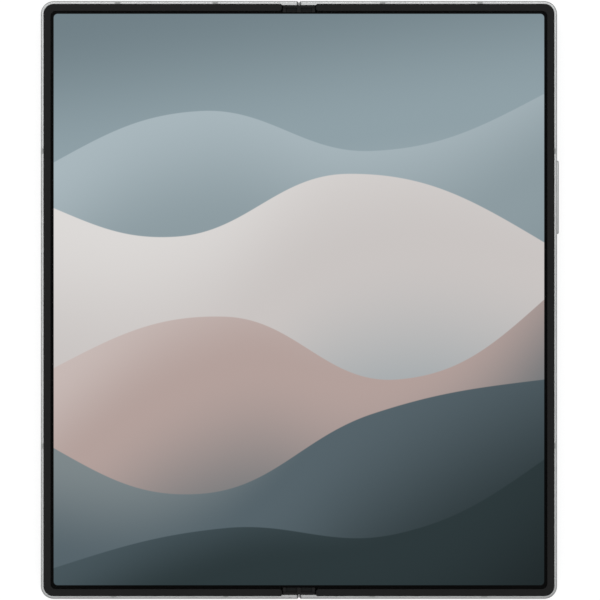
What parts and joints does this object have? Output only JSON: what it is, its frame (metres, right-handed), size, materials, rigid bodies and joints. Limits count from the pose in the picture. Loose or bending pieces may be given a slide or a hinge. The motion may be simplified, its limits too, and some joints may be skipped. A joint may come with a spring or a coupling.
{
  "type": "foldable smartphone",
  "caption": "Book-style folding phone, open and flat: two framed halves with raised bezels swing on a hinge spine under one bending screen, with side keys, a card tray and rear cameras.",
  "frame": {"origin": "under the middle of the hinge, in the plane that the camera rings stand on; the centre of the bottom of the opened phone", "axes": "+Y along the hinge to the top of the phone, +X to the half with the keys and rear cameras, +Z out of the inner screen"},
  "size_m": [0.1331, 0.1536, 0.0074],
  "materials": {
    "rail_aluminium": "bead-blasted and anodised, satin",
    "break_plastic": "moulded, satin, a shade darker than the rail",
    "bezel_plastic": "moulded, fine matt texture",
    "screen_film": "glossy protective film over the panel",
    "fibre_plate": "fibre laminate",
    "pen_film": "coated film",
    "back_glass": "etched matt glass, tinted on its inner face",
    "cover_glass": "polished glass over the outer display",
    "ring_metal": "turned, polished edge",
    "lens_glass": "coated, polished",
    "black_plastic": "moulded",
    "flash_plastic": "ribbed lens",
    "board_laminate": "solder resist",
    "steel_sheet": "pressed sheet",
    "copper": "bare copper",
    "battery_foil": "wrapped pouch",
    "flex_film": "polyimide film",
    "screw_steel": "machined",
    "hinge_steel": "metal injection moulded",
    "magnet": "nickel plated",
    "sensor_face": "fine satin coating",
    "spine_aluminium": "anodised, satin",
    "flap_rubber": "soft, matt",
    "display_panel": "black panel"
  },
  "bodies": {
    "spine": {"spine_cover": "spine_aluminium", "hinge_blocks": "hinge_steel", "end_caps": "spine_aluminium", "end_guards": "bezel_plastic", "guard_flaps": "flap_rubber", "detent_springs": "hinge_steel", "spine_screws": "screw_steel", "bend_screen": "screen_film", "hinge_flex_cables": "flex_film"},
    "main_half": {"main_frame": "rail_aluminium", "main_antenna_breaks": "break_plastic", "main_bezel": "bezel_plastic", "main_screen": "screen_film", "main_fibre_plate": "fibre_plate", "main_pen_film": "pen_film", "rear_glass": "back_glass", "camera_island": "rail_aluminium", "camera_rings": "ring_metal", "camera_windows": "lens_glass", "camera_modules": "black_plastic", "flash_lens": "flash_plastic", "main_board": "board_laminate", "board_shields": "steel_sheet", "vapour_chamber": "copper", "main_battery": "battery_foil", "charging_coil": "copper", "usb_socket": "steel_sheet", "bottom_speaker": "black_plastic", "haptic_motor": "steel_sheet", "key_flex": "flex_film", "main_screws": "screw_steel", "main_hinge_brackets": "hinge_steel", "bracket_screws_main": "screw_steel", "under_screen_camera": "black_plastic", "main_magnets": "magnet", "main_speaker_mesh": "steel_sheet"},
    "cover_half": {"cover_frame": "rail_aluminium", "cover_antenna_breaks": "break_plastic", "cover_bezel": "bezel_plastic", "cover_screen": "screen_film", "cover_fibre_plate": "fibre_plate", "cover_pen_film": "pen_film", "cover_glass": "cover_glass", "cover_display": "display_panel", "cover_camera": "black_plastic", "cover_battery": "battery_foil", "cover_board": "board_laminate", "earpiece_speaker": "black_plastic", "cover_speaker_mesh": "steel_sheet", "cover_screws": "screw_steel", "cover_hinge_brackets": "hinge_steel", "bracket_screws_cover": "screw_steel", "cover_magnets": "magnet"},
    "main_wing": {"main_wing": "hinge_steel"},
    "cover_wing": {"cover_wing": "hinge_steel"},
    "volume_key": {"volume_key": "rail_aluminium"},
    "power_key": {"power_key": "rail_aluminium", "fingerprint_sensor": "sensor_face"},
    "sim_tray": {"sim_tray": "rail_aluminium"}
  },
  "joints": [
    {"name": "main_fold", "type": "hinge", "parent": "spine", "child": "main_half", "pos_m": [0.00168, 0, 0.00577], "axis": [0, -1, 0], "range_deg": [0, 90], "deforming": ["bend_screen", "hinge_flex_cables"]},
    {"name": "cover_fold", "type": "hinge", "parent": "spine", "child": "cover_half", "pos_m": [-0.00168, 0, 0.00577], "axis": [0, 1, 0], "range_deg": [0, 90]},
    {"name": "main_wing_tilt", "type": "hinge", "parent": "main_half", "child": "main_wing", "pos_m": [0.01, 0, 0.00612], "axis": [0, -1, 0], "range_deg": [0, 7.5]},
    {"name": "cover_wing_tilt", "type": "hinge", "parent": "cover_half", "child": "cover_wing", "pos_m": [-0.01, 0, 0.00612], "axis": [0, 1, 0], "range_deg": [0, 7.5]},
    {"name": "volume_rock", "type": "hinge", "parent": "main_half", "child": "volume_key", "pos_m": [0.0643, 0.0264, 0.0042], "axis": [0, 0, 1], "range_deg": [-1.2, 1.2], "stiffness_Nm_per_rad": 0.5},
    {"name": "power_press", "type": "slide", "parent": "main_half", "child": "power_key", "axis": [-1, 0, 0], "range_m": [0, 0.0002], "stiffness_N_per_m": 3000},
    {"name": "tray_slide", "type": "slide", "parent": "cover_half", "child": "sim_tray", "axis": [-1, 0, 0], "range_m": [0, 0.016]}
  ],
  "couplings": [
    {"joint": "cover_fold", "follows": "main_fold", "ratio": 1},
    {"joint": "main_wing_tilt", "follows": "main_fold", "ratio": 0.083333},
    {"joint": "cover_wing_tilt", "follows": "main_fold", "ratio": 0.083333}
  ]
}
